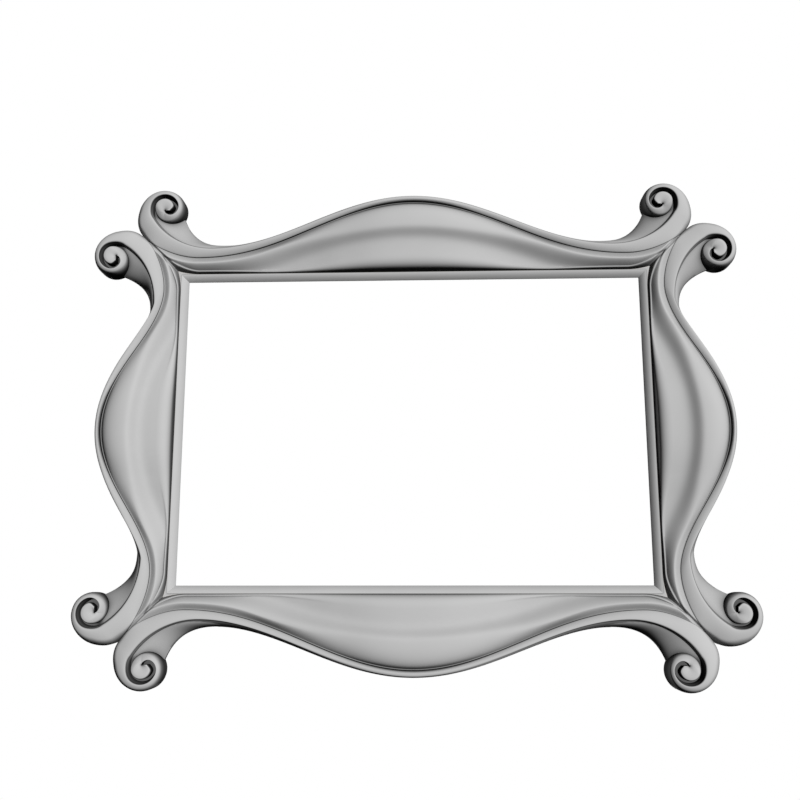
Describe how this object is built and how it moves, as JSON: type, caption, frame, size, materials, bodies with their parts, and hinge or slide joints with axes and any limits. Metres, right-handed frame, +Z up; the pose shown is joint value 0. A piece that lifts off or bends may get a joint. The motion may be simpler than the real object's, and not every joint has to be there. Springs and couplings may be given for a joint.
{
  "type": "picture frame",
  "caption": "Carved rectangular picture frame with swelling panels, scrolled ribbon edges and volutes at the corners, a rounded sight slip, and turn buttons and ring hangers behind.",
  "frame": {"origin": "on the flat back of the top rail, midway along it, 45 mm above the sight edge", "axes": "+X to the right along the long rails as seen from the front, +Y from the front of the frame to the wall, +Z up"},
  "size_m": [0.6256, 0.0359, 0.4802],
  "materials": {
    "painted_timber": "smooth satin paint over carved wood",
    "key_timber": "bare planed hardwood",
    "brass": "lacquered, lightly brushed",
    "plated_steel": "zinc plated",
    "bumper_rubber": "matte"
  },
  "bodies": {
    "frame": {"top_rail": "painted_timber", "right_rail": "painted_timber", "bottom_rail": "painted_timber", "left_rail": "painted_timber", "top_slip": "painted_timber", "right_slip": "painted_timber", "bottom_slip": "painted_timber", "left_slip": "painted_timber", "corner_key_1": "key_timber", "corner_key_2": "key_timber", "corner_key_3": "key_timber", "corner_key_4": "key_timber", "button_screw_1": "brass", "button_screw_2": "brass", "button_screw_3": "brass", "button_screw_4": "brass", "button_screw_5": "brass", "button_screw_6": "brass", "left_hanger": "plated_steel", "right_hanger": "plated_steel", "left_hanger_screw_1": "plated_steel", "left_hanger_screw_2": "plated_steel", "right_hanger_screw_1": "plated_steel", "right_hanger_screw_2": "plated_steel", "wall_bumper_left": "bumper_rubber", "wall_bumper_right": "bumper_rubber"},
    "turn_button_1": {"turn_button_1": "brass"},
    "turn_button_2": {"turn_button_2": "brass"},
    "turn_button_3": {"turn_button_3": "brass"},
    "turn_button_4": {"turn_button_4": "brass"},
    "turn_button_5": {"turn_button_5": "brass"},
    "turn_button_6": {"turn_button_6": "brass"},
    "left_ring": {"left_ring": "plated_steel"},
    "right_ring": {"right_ring": "plated_steel"}
  },
  "joints": [
    {"name": "turn_button_1_pivot", "type": "hinge", "parent": "frame", "child": "turn_button_1", "pos_m": [-0.11, 0, -0.0262], "axis": [0, 1, 0], "continuous": true},
    {"name": "turn_button_2_pivot", "type": "hinge", "parent": "frame", "child": "turn_button_2", "pos_m": [0.11, 0, -0.0262], "axis": [0, 1, 0], "continuous": true},
    {"name": "turn_button_3_pivot", "type": "hinge", "parent": "frame", "child": "turn_button_3", "pos_m": [0.2378, 0, -0.1913], "axis": [0, 1, 0], "continuous": true},
    {"name": "turn_button_4_pivot", "type": "hinge", "parent": "frame", "child": "turn_button_4", "pos_m": [0.11, 0, -0.3564], "axis": [0, 1, 0], "continuous": true},
    {"name": "turn_button_5_pivot", "type": "hinge", "parent": "frame", "child": "turn_button_5", "pos_m": [-0.11, 0, -0.3564], "axis": [0, 1, 0], "continuous": true},
    {"name": "turn_button_6_pivot", "type": "hinge", "parent": "frame", "child": "turn_button_6", "pos_m": [-0.2378, 0, -0.1913], "axis": [0, 1, 0], "continuous": true},
    {"name": "left_ring_swing", "type": "hinge", "parent": "frame", "child": "left_ring", "pos_m": [-0.261, 0.0032, -0.1213], "axis": [1, 0, 0], "range_deg": [0, 180]},
    {"name": "right_ring_swing", "type": "hinge", "parent": "frame", "child": "right_ring", "pos_m": [0.261, 0.0032, -0.1213], "axis": [1, 0, 0], "range_deg": [0, 180]}
  ]
}
